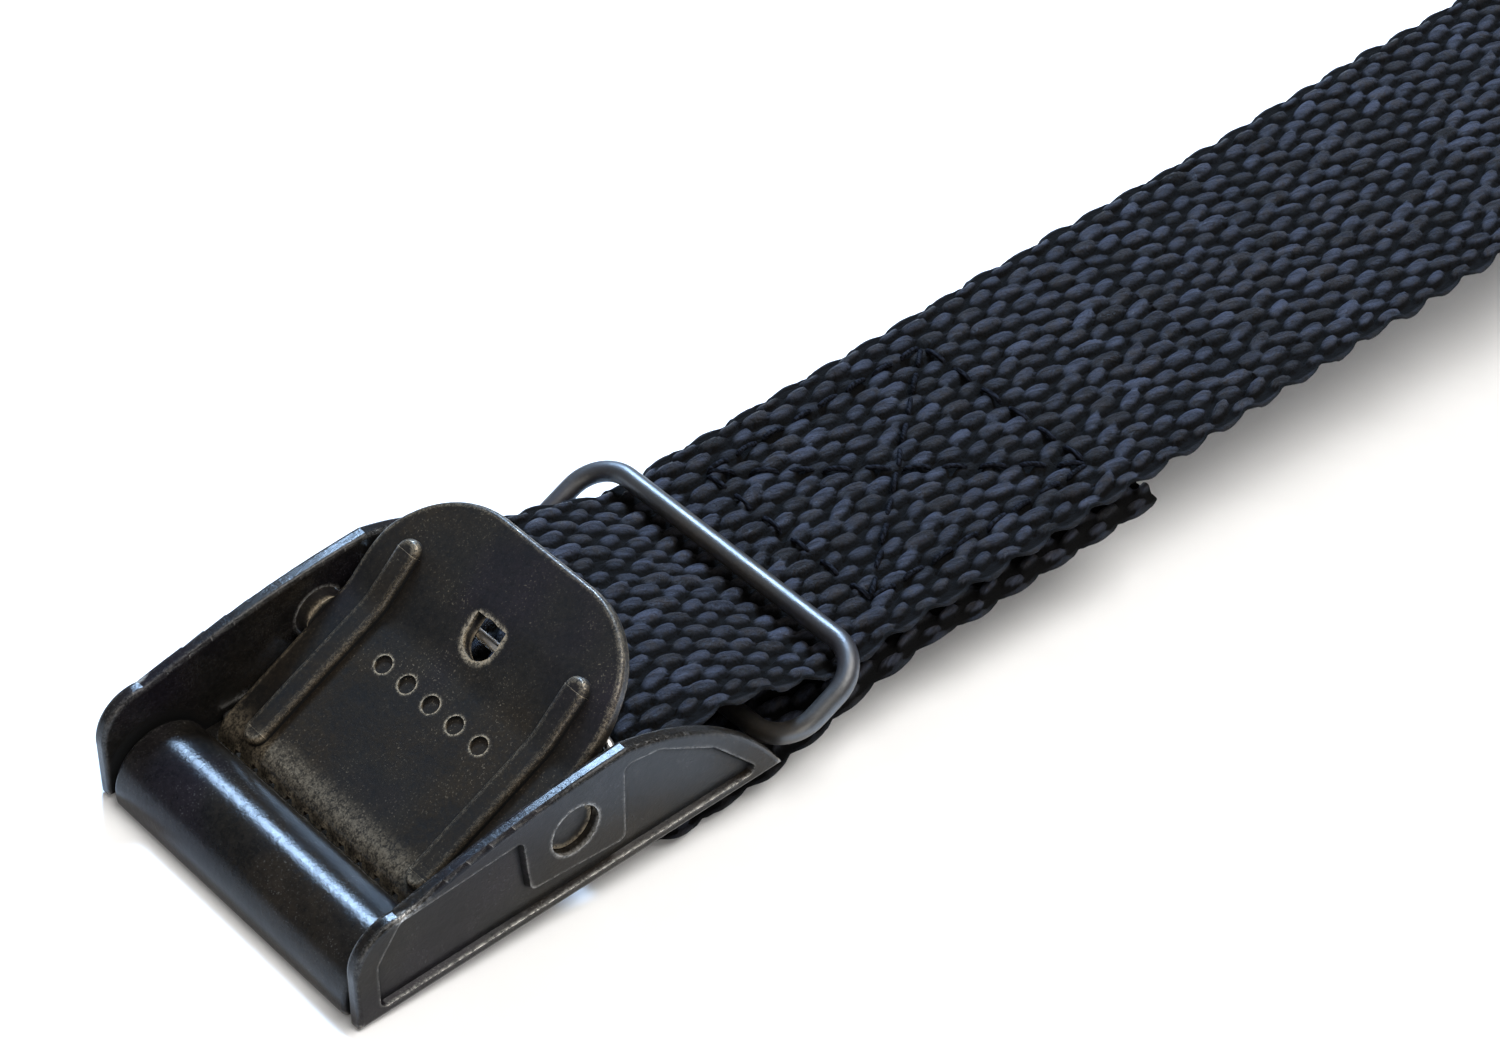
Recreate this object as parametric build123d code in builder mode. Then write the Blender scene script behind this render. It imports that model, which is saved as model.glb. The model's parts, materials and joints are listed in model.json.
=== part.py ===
from build123d import *
from math import atan2, cos, degrees, radians, sin
import os

# Cam-buckle strap: a stamped buckle with a spring-returned clamping lever, a wire keeper and 25 mm webbing.
# The buckle's own frame has X from the nose to the rear, Z up and its origin under the nose, and REST sets
# it on the floor, resting on its nose and on the sewn eye. The part's origin is under its middle. All in mm.

os.makedirs("parts", exist_ok=True)

# Driving dimensions: webbing and sheet
WEBBING_WIDTH = 25.0
WEBBING_THICK = 1.5
SHEET = 1.2
SIDE_PLAY = 0.9
INNER_HALF = WEBBING_WIDTH / 2 + SIDE_PLAY
OUTER_HALF = INNER_HALF + SHEET

# Buckle body
PLATE_FRONT = -0.4
PLATE_TIP = 36.6
PLATE_SHOULDER = (3.4, 8.0)
PLATE_HUMP = (22.6, 10.6)
POCKET_DEPTH = 0.5
POCKET_WALL_SLOPE = 20.0
PIVOT = (18.0, 6.14)
PIVOT_HOLE_R = 2.0
LIP_CENTRE = (3.54, 0.74)
LIP_R = 3.93
LIP_SLIT = 0.4
WINDOW_FRONT = 7.9
WINDOW_HALF = 12.6
BAR_FRONT = 26.6
BAR_REAR = 32.5
PLATE_EDGE_R = 0.35
LIP_EDGE_R = 0.4

# Cam lever: top face of its sheet from the teeth's tips over the turned-down toe to the tab's end
LEVER_TOP = [(7.8, 1.3), (8.05, 2.57), (19.9, 8.6), (23.4, 11.95), (28.0, 15.05)]
LEVER_BEND_R = 5.0
TOE_BEND_R = 1.5
LEVER_EDGE_R = 0.35
TAB_HALF = 12.6
NECK_HALF = 12.2
TAB_CORNER_R = 8.0
TRUNNION_R = PIVOT_HOLE_R - 0.05
TRUNNION_END = OUTER_HALF - 0.75
CORE_R = 1.25
TOOTH_COUNT = 12
TOOTH_PITCH = 1.95
TOOTH_GAP = 0.6
TOOTH_HEIGHT = 0.45
RIB_Y = 9.0
RIB_WIDTH = 2.0
RIB_HEIGHT = 0.7
RIB_DEPTH = 1.6
RIB_EDGE_R = 0.42
RIB_EASE = 0.04
SIGHT_HOLE_WIDTH = 3.0
SIGHT_HOLE_LENGTH = 2.8
SIGHT_HOLE_AT = (22.0, 10.5)
DIMPLE_COUNT = 5
DIMPLE_PITCH = 2.6
DIMPLE_R = 0.7
DIMPLE_DEPTH = 0.25
DIMPLE_AT = (17.4, 7.33)

# Return spring
SPRING_WIRE_R = 0.4
SPRING_Y = 12.95
SPRING_FOOT = 9.0
SPRING_KNEE = 20.0
SPRING_BRIDGE = (23.0, 9.3)
SPRING_BEND_R = 1.8

# Keeper ring
KEEPER_WIRE_R = 0.8
KEEPER_HALF = 14.37
KEEPER_HEIGHT = 8.48
KEEPER_CORNER_R = 3.2
KEEPER_BAR = (36.9, 0.8)
KEEPER_LEAN = 64.5

# Webbing: the two sewn layers lie straight from the seam's front to the lower layer's end, and the eye's
# mid line goes round the bar from the lower layer to the upper one
SEWN_FRONT = 49.0
SEWN_REAR = 75.0
UPPER_LEVEL = 2.75
LOWER_LEVEL = 0.95
EYE_LOWER = [(41.0, -0.75), (35.0, -1.85)]
EYE_BOTTOM = (28.5, -2.0)
EYE_FRONT = [(25.0, -0.9), (23.3, 1.6), (25.3, 5.3)]
EYE_UPPER = [(30.0, 6.4), (36.0, 5.4), (44.0, 2.55)]
RUN_END = 147.0
RUN_FLAT = 6.0
RUN_BEND_R = 60.0
HANK_LENGTH = 97.0
HANK_CORNER_R = 3.0

# Tie: a band round the middle of the folded strap, which it nips in
TIE_WIDTH = 12.0
TIE_THICK = 1.0
TIE_NIP = 1.1
TIE_PLAY = 0.05

# Box stitch
STITCH_FRONT = 50.0
STITCH_REAR = 72.0
STITCH_HALF = 9.0
STITCH_PITCH = 2.75
STITCH_LENGTH = 1.9
STITCH_WIDTH = 0.7
STITCH_PROUD = 0.25

# From the plates' lower front corner to the middle of the part's whole length
NOSE_TO_MIDDLE = 124.11

# The buckle tips forward until both its nose and the underside of the eye touch the floor
EYE_DROP = -EYE_BOTTOM[1] + WEBBING_THICK / 2
PITCH = degrees(atan2(EYE_DROP, EYE_BOTTOM[0] - PLATE_FRONT))
LIFT = -PLATE_FRONT * sin(radians(PITCH))
REST = Location((-NOSE_TO_MIDDLE, 0, LIFT), (0, -PITCH, 0))


def seated(plane):
    """A plane of the buckle's own frame, moved to where the buckle rests."""
    return Plane(REST * plane.location)


def across(y):
    """A plane that cuts the buckle along its length at y; extruding from it goes towards -Y."""
    return seated(Plane(origin=(0, y, 0), x_dir=(1, 0, 0), z_dir=(0, -1, 0)))


def level(z):
    """A plane that lies flat in the buckle's own frame at height z."""
    return seated(Plane(origin=(0, 0, z), x_dir=(1, 0, 0), z_dir=(0, 0, 1)))


def is_lip_end(edge):
    """Whether an edge is one of the lip's two round outer end edges."""
    return abs(edge.radius - LIP_R) < 0.01


def along(start, end, share):
    """The point at a share of the way from start to end."""
    return tuple(a + (b - a) * share for a, b in zip(start, end))


# ---------------------------------------------------------------- buckle body
with BuildPart() as buckle_body:
    # Two side plates: upright nose, gently rising top edge, tail that curves down to a tip
    for face in (OUTER_HALF, -INNER_HALF):
        with BuildSketch(across(face)) as plate:
            with BuildLine():
                nose = Line((PLATE_FRONT, 0), (PLATE_FRONT, 4.4))
                corner = SagittaArc(nose @ 1, PLATE_SHOULDER, 1.25)
                top = ThreePointArc(PLATE_SHOULDER, (12.4, 9.7), PLATE_HUMP)
                tail = ThreePointArc(PLATE_HUMP, (30.3, 7.1), (PLATE_TIP, 0))
                Line(tail @ 1, nose @ 0)
            make_face()
        extrude(amount=SHEET)
    fillet(buckle_body.edges().filter_by(Axis.Y, reverse=True), PLATE_EDGE_R)

    # Base plate between them, and the half-round lip curled up from its front edge
    with BuildSketch(across(INNER_HALF)) as base_side:
        with Locations(((0.2 + BAR_REAR) / 2, SHEET / 2)):
            Rectangle(BAR_REAR - 0.2, SHEET)
    extrude(amount=2 * INNER_HALF)
    with BuildSketch(across(INNER_HALF - LIP_SLIT)) as lip_side:
        with Locations(LIP_CENTRE):
            Circle(LIP_R)
            Circle(LIP_R - SHEET, mode=Mode.SUBTRACT)
        with Locations((LIP_CENTRE[0], -LIP_R)):
            Rectangle(4 * LIP_R, 2 * LIP_R, mode=Mode.SUBTRACT)
    extrude(amount=2 * (INNER_HALF - LIP_SLIT))
    lip_ends = buckle_body.edges().filter_by(GeomType.CIRCLE).filter_by(is_lip_end)
    fillet(lip_ends, LIP_EDGE_R)

    # Window for the webbing, with the rear bar left behind it
    with BuildSketch(level(0)) as window:
        with Locations(((WINDOW_FRONT + BAR_FRONT) / 2, 0)):
            RectangleRounded(BAR_FRONT - WINDOW_FRONT, 2 * WINDOW_HALF, 1.0)
    extrude(amount=SHEET, mode=Mode.SUBTRACT)

    # Pressed panels on the outer faces: front panel, low strip and rear panel in one outline
    for face, depth in ((OUTER_HALF, POCKET_DEPTH), (-OUTER_HALF, -POCKET_DEPTH)):
        with BuildSketch(across(face)) as pocket:
            with BuildLine():
                Polyline(
                    (1.4, 0.8),
                    (1.4, 5.0),
                    (3.4, 7.7),
                    (13.6, 8.1),
                    (14.1, 3.1),
                    (22.3, 2.4),
                    (22.3, 9.3),
                    (25.4, 8.8),
                    (30.3, 5.7),
                    (34.6, 0.8),
                    close=True,
                )
            make_face()
            fillet(pocket.vertices(), 0.55)
        extrude(amount=depth, taper=POCKET_WALL_SLOPE, mode=Mode.SUBTRACT)

    # Pivot holes for the lever's trunnions
    with BuildSketch(across(OUTER_HALF)) as pivot_holes:
        with Locations(PIVOT):
            Circle(PIVOT_HOLE_R)
    extrude(amount=2 * OUTER_HALF, mode=Mode.SUBTRACT)

buckle_body.part.label = "buckle_body"
export_step(buckle_body.part, "parts/buckle_body.step")

# ---------------------------------------------------------------- cam lever
def slope_of(start, end):
    """The slope of the line from start to end, in degrees above the buckle's own X."""
    return degrees(atan2(end[1] - start[1], end[0] - start[0]))


def on_slope(point, angle):
    """A plane through point whose X axis runs up a slope and whose Z axis is square to it."""
    rise = Vector(cos(radians(angle)), 0, sin(radians(angle)))
    normal = Vector(-sin(radians(angle)), 0, cos(radians(angle)))
    return seated(Plane(origin=(point[0], 0, point[1]), x_dir=rise, z_dir=normal))


def sunk(line, depth):
    """The corners of a bent line moved square to it by depth, to the right of its direction."""
    moved = []
    for place, corner in enumerate(line):
        before = line[max(place - 1, 0)]
        after = line[min(place + 1, len(line) - 1)]
        turn = (slope_of(corner, after) if after != corner else slope_of(before, corner))
        back = (slope_of(before, corner) if before != corner else turn)
        middle = radians((turn + back) / 2)
        reach = depth / cos(radians((turn - back) / 2))
        moved.append((corner[0] + reach * sin(middle), corner[1] - reach * cos(middle)))
    return moved


NECK_SLOPE = slope_of(*LEVER_TOP[1:3])
TAB_SLOPE = slope_of(*LEVER_TOP[3:])
TAB_LENGTH = 30.0

with BuildPart() as cam_lever:
    # The sheet: a bent strip of constant thickness below its top line
    with BuildSketch(across(TAB_HALF)) as sheet_side:
        with BuildLine():
            middle = sunk(LEVER_TOP, SHEET / 2)
            neck_middle = along(middle[1], middle[2], 0.4)
            toe = FilletPolyline(*middle[:2], neck_middle, radius=TOE_BEND_R)
            FilletPolyline(toe @ 1, *middle[2:], radius=LEVER_BEND_R)
        trace(line_width=SHEET)
    extrude(amount=2 * TAB_HALF)

    # Its outline seen square to the tab: straight sides that widen a little, and a round-cornered end
    with BuildSketch(on_slope(LEVER_TOP[-1], TAB_SLOPE).offset(-TAB_LENGTH)) as tab_outline:
        with BuildLine():
            Polyline(
                (0, TAB_HALF),
                (-TAB_LENGTH, NECK_HALF),
                (-TAB_LENGTH, -NECK_HALF),
                (0, -TAB_HALF),
                close=True,
            )
        make_face()
        fillet(tab_outline.vertices().sort_by(Axis.X)[-2:], TAB_CORNER_R)
    extrude(amount=2 * TAB_LENGTH, mode=Mode.INTERSECT)
    front_edges = cam_lever.edges().sort_by(Axis.X)[:4]
    fillet(cam_lever.edges().filter_by(lambda edge: edge not in front_edges), LEVER_EDGE_R)

    # Round core under the sheet on the pivot line, cheeks around it and a trunnion at each side
    with BuildSketch(across(NECK_HALF)) as core_side:
        with Locations(PIVOT):
            Circle(CORE_R)
    extrude(amount=2 * NECK_HALF)
    for face in (NECK_HALF, -NECK_HALF + SHEET):
        with BuildSketch(across(face)) as cheek:
            with BuildLine():
                Polyline((14.6, 5.3), (16.4, 3.0), (20.4, 3.4), (21.6, 8.8), close=True)
            make_face()
            fillet(cheek.vertices().sort_by(Axis.Z)[:2], 1.5)
        extrude(amount=SHEET)
    for face in (TRUNNION_END, -NECK_HALF):
        with BuildSketch(across(face)) as trunnion:
            with Locations(PIVOT):
                Circle(TRUNNION_R)
        extrude(amount=TRUNNION_END - NECK_HALF)

    # Two raised ribs with rounded shoulders and round ends, from behind the toe up over the bend
    for side in (-1, 1):
        rib_top = [
            along(LEVER_TOP[1], LEVER_TOP[2], 0.10),
            LEVER_TOP[2],
            along(LEVER_TOP[2], LEVER_TOP[3], 0.90),
        ]
        rib_line = sunk(rib_top, RIB_DEPTH / 2 - RIB_HEIGHT)
        rib_points = [(REST * Location((x, side * RIB_Y, z))).position for x, z in rib_line]
        with BuildLine() as rib_path:
            FilletPolyline(*rib_points, radius=LEVER_BEND_R)
        for place in (0, 1):
            start = rib_path.line @ place
            forward = rib_path.line % place
            upward = forward.cross(Vector(0, 1, 0)) * -1
            with BuildSketch(Plane(origin=start, x_dir=(0, 1, 0), z_dir=forward)) as rib_end:
                RectangleRounded(RIB_WIDTH - RIB_EASE, RIB_DEPTH - RIB_EASE, RIB_EDGE_R)
                with Locations((-RIB_WIDTH / 2, 0)):
                    Rectangle(RIB_WIDTH, RIB_DEPTH, mode=Mode.SUBTRACT)
            revolve(axis=Axis(start, upward))
        with BuildSketch(Plane(origin=rib_path.line @ 0, x_dir=(0, 1, 0), z_dir=rib_path.line % 0)):
            RectangleRounded(RIB_WIDTH, RIB_DEPTH, RIB_EDGE_R)
        sweep(path=rib_path.line)

    # Teeth: slots across the toe's lower edge, which is bevelled from behind
    with BuildSketch(level(LEVER_TOP[0][1] - 0.5)) as tooth_gaps:
        with Locations((LEVER_TOP[0][0], 0)):
            with GridLocations(1, TOOTH_PITCH, 1, TOOTH_COUNT - 1):
                Rectangle(4.0, TOOTH_GAP)
    extrude(amount=TOOTH_HEIGHT + 0.5, mode=Mode.SUBTRACT)
    with BuildSketch(across(TAB_HALF + 1)) as tooth_bevel:
        with BuildLine():
            Polyline((8.15, 0.5), (10.5, 0.5), (10.5, 2.1), (9.1, 2.1), close=True)
        make_face()
    extrude(amount=2 * TAB_HALF + 2, mode=Mode.SUBTRACT)

    # Sight hole through the sheet: straight behind and half round in front
    with BuildSketch(on_slope(SIGHT_HOLE_AT, TAB_SLOPE).offset(-3)) as sight_hole:
        with Locations((SIGHT_HOLE_LENGTH / 4, 0)):
            Rectangle(SIGHT_HOLE_LENGTH / 2, SIGHT_HOLE_WIDTH)
        Circle(SIGHT_HOLE_WIDTH / 2)
    extrude(amount=6, mode=Mode.SUBTRACT)

    # A row of shallow grip dimples across the neck
    with BuildSketch(on_slope(DIMPLE_AT, NECK_SLOPE).offset(-DIMPLE_DEPTH)) as dimples:
        with GridLocations(1, DIMPLE_PITCH, 1, DIMPLE_COUNT):
            Circle(DIMPLE_R)
    extrude(amount=2, mode=Mode.SUBTRACT)

cam_lever.part.label = "cam_lever"
export_step(cam_lever.part, "parts/cam_lever.step")

# ---------------------------------------------------------------- return spring
# One wire: a foot on each of the base plate's side strips, a leg up each side and a bridge under the tab
FOOT_LEVEL = SHEET + SPRING_WIRE_R + 0.02
with BuildPart() as return_spring:
    with BuildLine() as spring_path:
        feet = [(SPRING_FOOT, FOOT_LEVEL), (SPRING_KNEE, FOOT_LEVEL), SPRING_BRIDGE]
        far_side = [(x, SPRING_Y, z) for x, z in feet]
        near_side = [(x, -SPRING_Y, z) for x, z in reversed(feet)]
        corners = [(REST * Location(point)).position for point in far_side + near_side]
        FilletPolyline(*corners, radius=SPRING_BEND_R)
    with BuildSketch(Plane(origin=spring_path.line @ 0, z_dir=spring_path.line % 0)):
        Circle(SPRING_WIRE_R)
    sweep()

return_spring.part.label = "return_spring"
export_step(return_spring.part, "parts/return_spring.step")

# ---------------------------------------------------------------- keeper ring
# A closed ring of round wire; its lower bar lies inside the eye and its upper bar on the webbing
with BuildPart() as keeper_ring:
    with BuildSketch(on_slope(KEEPER_BAR, 90 - KEEPER_LEAN), mode=Mode.PRIVATE) as ring_shape:
        with Locations((KEEPER_HEIGHT / 2, 0)):
            RectangleRounded(KEEPER_HEIGHT, 2 * KEEPER_HALF, KEEPER_CORNER_R)
    ring_wire = ring_shape.sketch.faces()[0].outer_wire()
    with BuildSketch(Plane(origin=ring_wire @ 0, z_dir=ring_wire % 0)):
        Circle(KEEPER_WIRE_R)
    sweep(path=ring_wire)

keeper_ring.part.label = "keeper_ring"
export_step(keeper_ring.part, "parts/keeper_ring.step")

# ---------------------------------------------------------------- webbing
# Sewn eye: both layers, from the front bend to the end of the lower layer
with BuildPart() as webbing_eye:
    with BuildSketch(across(WEBBING_WIDTH / 2)) as eye_side:
        with BuildLine():
            lower = Line((SEWN_REAR, LOWER_LEVEL), (SEWN_FRONT, LOWER_LEVEL))
            upper = Line((SEWN_FRONT, UPPER_LEVEL), (SEWN_REAR, UPPER_LEVEL))
            loop = [lower @ 1, *EYE_LOWER, EYE_BOTTOM, *EYE_FRONT, *EYE_UPPER, upper @ 0]
            Spline(*loop, tangents=[lower % 1, upper % 0])
        trace(line_width=WEBBING_THICK)
    extrude(amount=WEBBING_WIDTH)

webbing_eye.part.label = "webbing_eye"
export_step(webbing_eye.part, "parts/webbing_eye.step")

# Straight run behind the eye, levelling off at its end
run_turn = (REST * Location((RUN_END, 0, UPPER_LEVEL))).position
with BuildPart() as webbing_run:
    with BuildSketch(Plane.XZ.offset(-WEBBING_WIDTH / 2)) as run_side:
        with BuildLine():
            run_start = (REST * Location((SEWN_REAR, 0, UPPER_LEVEL))).position
            FilletPolyline(
                (run_start.X, run_start.Z),
                (run_turn.X, run_turn.Z),
                (run_turn.X + RUN_FLAT, run_turn.Z),
                radius=RUN_BEND_R,
            )
        trace(line_width=WEBBING_THICK)
    extrude(amount=WEBBING_WIDTH)

webbing_run.part.label = "webbing_run"
export_step(webbing_run.part, "parts/webbing_run.step")

# The rest of the strap's length, folded to and fro in a flat hank that the run lies on top of, and nipped
# in where the tie goes round it
hank_front = run_turn.X + RUN_FLAT
hank_top = run_turn.Z + WEBBING_THICK / 2
hank_middle = hank_front + HANK_LENGTH / 2
with BuildPart() as webbing_hank:
    with BuildSketch(Plane.XZ.offset(-WEBBING_WIDTH / 2)) as hank_side:
        with Locations((hank_middle, hank_top / 2)):
            Rectangle(HANK_LENGTH, hank_top)
        fillet(hank_side.vertices().sort_by(Axis.X)[-2:], HANK_CORNER_R)
        with Locations((hank_middle, TIE_NIP / 2), (hank_middle, hank_top - TIE_NIP / 2)):
            Rectangle(TIE_WIDTH + 1, TIE_NIP, mode=Mode.SUBTRACT)
    extrude(amount=WEBBING_WIDTH)

webbing_hank.part.label = "webbing_hank"
export_step(webbing_hank.part, "parts/webbing_hank.step")

# ---------------------------------------------------------------- hank tie
tie_inside = hank_top - 2 * TIE_NIP + 2 * TIE_PLAY
with BuildPart() as hank_tie:
    with BuildSketch(Plane.YZ.offset(hank_middle - TIE_WIDTH / 2)) as tie_ring:
        with Locations((0, hank_top / 2)):
            RectangleRounded(WEBBING_WIDTH + 2 * TIE_PLAY + 2 * TIE_THICK, tie_inside + 2 * TIE_THICK, 1.4)
            Rectangle(WEBBING_WIDTH + 2 * TIE_PLAY, tie_inside, mode=Mode.SUBTRACT)
    extrude(amount=TIE_WIDTH)

hank_tie.part.label = "hank_tie"
export_step(hank_tie.part, "parts/hank_tie.step")

# ---------------------------------------------------------------- box stitch
# A rectangle of thread with a cross in it, each stitch proud of the upper layer
stitch_top = UPPER_LEVEL + WEBBING_THICK / 2 + 0.02
corners = [
    (STITCH_FRONT, -STITCH_HALF),
    (STITCH_REAR, -STITCH_HALF),
    (STITCH_REAR, STITCH_HALF),
    (STITCH_FRONT, STITCH_HALF),
]
seams = list(zip(corners, corners[1:] + corners[:1]))
seams += [(corners[0], corners[2]), (corners[1], corners[3])]
with BuildPart() as box_stitch:
    with BuildSketch(level(stitch_top)) as stitches:
        for start, end in seams:
            seam = Vector(*end) - Vector(*start)
            count = int(seam.length / STITCH_PITCH)
            angle = degrees(atan2(seam.Y, seam.X))
            for number in range(count):
                centre = along(start, end, (number + 0.5) / count)
                with Locations(Location((*centre, 0), angle)):
                    SlotOverall(STITCH_LENGTH, STITCH_WIDTH)
    extrude(amount=STITCH_PROUD)

box_stitch.part.label = "box_stitch"
export_step(box_stitch.part, "parts/box_stitch.step")
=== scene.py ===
import json
import math

import bpy
import numpy as np
from mathutils import Matrix, Vector


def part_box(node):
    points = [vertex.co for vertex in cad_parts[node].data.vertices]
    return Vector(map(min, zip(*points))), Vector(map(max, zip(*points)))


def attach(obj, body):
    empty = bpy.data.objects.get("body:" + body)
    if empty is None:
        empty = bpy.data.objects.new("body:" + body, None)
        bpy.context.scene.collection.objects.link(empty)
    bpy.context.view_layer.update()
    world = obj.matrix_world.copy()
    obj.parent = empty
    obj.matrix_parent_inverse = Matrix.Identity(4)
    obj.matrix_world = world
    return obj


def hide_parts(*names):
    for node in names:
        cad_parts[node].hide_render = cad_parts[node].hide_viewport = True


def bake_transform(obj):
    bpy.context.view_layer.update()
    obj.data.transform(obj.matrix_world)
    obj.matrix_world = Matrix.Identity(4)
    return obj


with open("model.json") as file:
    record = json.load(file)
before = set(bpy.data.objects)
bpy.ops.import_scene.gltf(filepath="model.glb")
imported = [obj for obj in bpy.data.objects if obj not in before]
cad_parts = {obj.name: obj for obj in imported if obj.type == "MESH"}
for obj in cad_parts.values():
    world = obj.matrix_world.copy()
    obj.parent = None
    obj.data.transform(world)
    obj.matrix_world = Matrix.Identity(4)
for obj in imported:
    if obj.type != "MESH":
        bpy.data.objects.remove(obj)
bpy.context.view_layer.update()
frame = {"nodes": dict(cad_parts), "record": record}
MM = 0.001

# ---------------------------------------------------------------- the buckle's own frame
# The buckle is laid out level, with X to the rear and its origin under the nose, and then tips nose
# down on the floor. Both joints' places are known in both frames, and they give the tilt.
PIVOT = (18.0, 6.14)
KEEPER_BAR = (36.9, 0.8)
JOINTS = {joint["name"]: joint for joint in frame["record"]["behaviour"]["joints"]}
PIVOT_ROW = np.array(JOINTS["lever_open"]["pos_m"])[[0, 2]] / MM
KEEPER_ROW = np.array(JOINTS["keeper_swing"]["pos_m"])[[0, 2]] / MM
TILT = math.atan2(*(KEEPER_ROW - PIVOT_ROW)[::-1]) - math.atan2(
    KEEPER_BAR[1] - PIVOT[1], KEEPER_BAR[0] - PIVOT[0]
)
TURN = np.array([[math.cos(TILT), -math.sin(TILT)], [math.sin(TILT), math.cos(TILT)]])


def seated(points):
    """Points (x, z) of the buckle's own frame, in mm, moved to the row frame, still in mm."""
    return (np.atleast_2d(points) - PIVOT) @ TURN.T + PIVOT_ROW


# ---------------------------------------------------------------- camera
CAMERA_AZIMUTH = -42.0
CAMERA_ELEVATION = 42.43
CAMERA_ROLL = 0.5
CAMERA_OFFSET = (34.73, 25.45, 275.72)
LENS = 98.78
SENSOR = 36.0
CLIP_START = 0.01


def make_camera():
    """A camera with the photograph's viewing angle, distance and lens, placed by the buckle."""
    az, el, roll = (math.radians(a) for a in (CAMERA_AZIMUTH, CAMERA_ELEVATION, CAMERA_ROLL))
    back = Vector((math.sin(az) * math.cos(el), -math.cos(az) * math.cos(el), math.sin(el)))
    right = Vector((0, 0, 1)).cross(back).normalized()
    up = back.cross(right)
    right, up = (
        math.cos(roll) * right + math.sin(roll) * up,
        math.cos(roll) * up - math.sin(roll) * right,
    )
    place = CAMERA_OFFSET[0] * right + CAMERA_OFFSET[1] * up + CAMERA_OFFSET[2] * back
    tilt = Matrix.Rotation(-TILT, 3, "Y")
    x, z = seated((place.x, place.z))[0]
    data = bpy.data.cameras.new("camera")
    data.lens = LENS
    data.sensor_width = SENSOR
    data.clip_start = CLIP_START
    camera = bpy.data.objects.new("camera", data)
    bpy.context.collection.objects.link(camera)
    axes = Matrix((tilt @ right, tilt @ up, tilt @ back)).transposed()
    camera.matrix_world = Matrix.Translation(Vector((x, place.y, z)) * MM) @ axes.to_4x4()
    bpy.context.scene.camera = camera


# ---------------------------------------------------------------- node helpers
def new_material(name):
    """A material with an empty node tree but for its output, and that tree with its shader."""
    material = bpy.data.materials.new(name)
    material.use_nodes = True
    tree = material.node_tree
    tree.nodes.clear()
    output = tree.nodes.new("ShaderNodeOutputMaterial")
    shader = tree.nodes.new("ShaderNodeBsdfPrincipled")
    tree.links.new(shader.outputs["BSDF"], output.inputs["Surface"])
    return material, tree, shader


def node(tree, kind, links=(), **settings):
    """A node of a kind, with settings for properties or inputs, and links from input to socket."""
    made = tree.nodes.new("ShaderNode" + kind)
    for key, value in settings.items():
        if key in made.inputs:
            made.inputs[key].default_value = value
        elif hasattr(made, key):
            setattr(made, key, value)
        else:
            made.inputs[key.replace("_", " ")].default_value = value
    for key, socket in dict(links).items():
        tree.links.new(socket, made.inputs[key])
    return made


def ramp(tree, value, *stops, ease="LINEAR"):
    """A colour ramp through stops of (position, colour), driven by value."""
    made = tree.nodes.new("ShaderNodeValToRGB")
    made.color_ramp.interpolation = ease
    elements = made.color_ramp.elements
    while len(elements) < len(stops):
        elements.new(0.5)
    for element, (position, colour) in zip(elements, stops):
        element.position = position
        element.color = (*colour, 1)
    tree.links.new(value, made.inputs["Fac"])
    return made.outputs["Color"]


def grey(value):
    """A neutral colour."""
    return (value, value, value)


def maths(tree, operation, first, second, clamp=False):
    """The result of a maths node; each operand is a socket or a number."""
    made = tree.nodes.new("ShaderNodeMath")
    made.operation = operation
    made.use_clamp = clamp
    for place, value in enumerate((first, second)):
        if isinstance(value, (int, float)):
            made.inputs[place].default_value = value
        else:
            tree.links.new(value, made.inputs[place])
    return made.outputs["Value"]


def times(tree, first, second, clamp=False):
    """The product of two operands."""
    return maths(tree, "MULTIPLY", first, second, clamp)


def plus(tree, first, second):
    """The sum of two operands."""
    return maths(tree, "ADD", first, second)


def mean_of(tree, first, second):
    """The mean of two operands."""
    return plus(tree, times(tree, first, 0.5), times(tree, second, 0.5))


def blend_colours(tree, share, first, second, mode="MIX"):
    """Two colours mixed by share; each is a socket or a colour."""
    made = tree.nodes.new("ShaderNodeMix")
    made.data_type = "RGBA"
    made.blend_type = mode
    for name, value in ((0, share), (6, first), (7, second)):
        if isinstance(value, (int, float)):
            made.inputs[name].default_value = value
        elif isinstance(value, tuple):
            made.inputs[name].default_value = (*value, 1)
        else:
            tree.links.new(value, made.inputs[name])
    return made.outputs[2]


def noise(tree, place, scale, detail, roughness=0.5):
    """A noise texture's value at a place."""
    settings = {"Scale": scale, "Detail": detail, "Roughness": roughness}
    return node(tree, "TexNoise", {"Vector": place}, **settings).outputs["Fac"]


def feed(tree, shader, colour, gloss, height, strength, depth):
    """Gives a shader its colour and roughness, and a bump of a height, strength and depth (m)."""
    bump = node(tree, "Bump", {"Height": height}, Strength=strength, Distance=depth)
    tree.links.new(colour, shader.inputs["Base Color"])
    tree.links.new(gloss, shader.inputs["Roughness"])
    tree.links.new(bump.outputs["Normal"], shader.inputs["Normal"])


# ---------------------------------------------------------------- materials
COOL_TINT = (0.85, 0.80, 1.12)
WARM_TINT = (1.16, 1.0, 0.80)
# Painted shade in hollow corners: its colour, its reach (m) and its roughness; and bare metal's
# roughness
CORNER_SHADE = (0.0015, 0.0015, 0.0015)
CORNER_SHADE_REACH = 0.0011
BARE_GLOSS = 0.30
CORNER_SHADE_GLOSS = 0.95
# The wear of an upright face against that of one that looks up, kept lower at the sides as
# painted shade, and the strength of a line worn bright that is also a painted highlight
SIDE_WEAR_AND_SHADE = 0.55
RUB_AND_HIGHLIGHT_STRENGTH = 0.12
# The lever's toe bend, worn bright by the strap and brightened further as a painted highlight: its
# middle in the buckle's frame, and its reach
TOE_BEND = (8.9, 1.9)
TOE_REACH = 2.4


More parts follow.
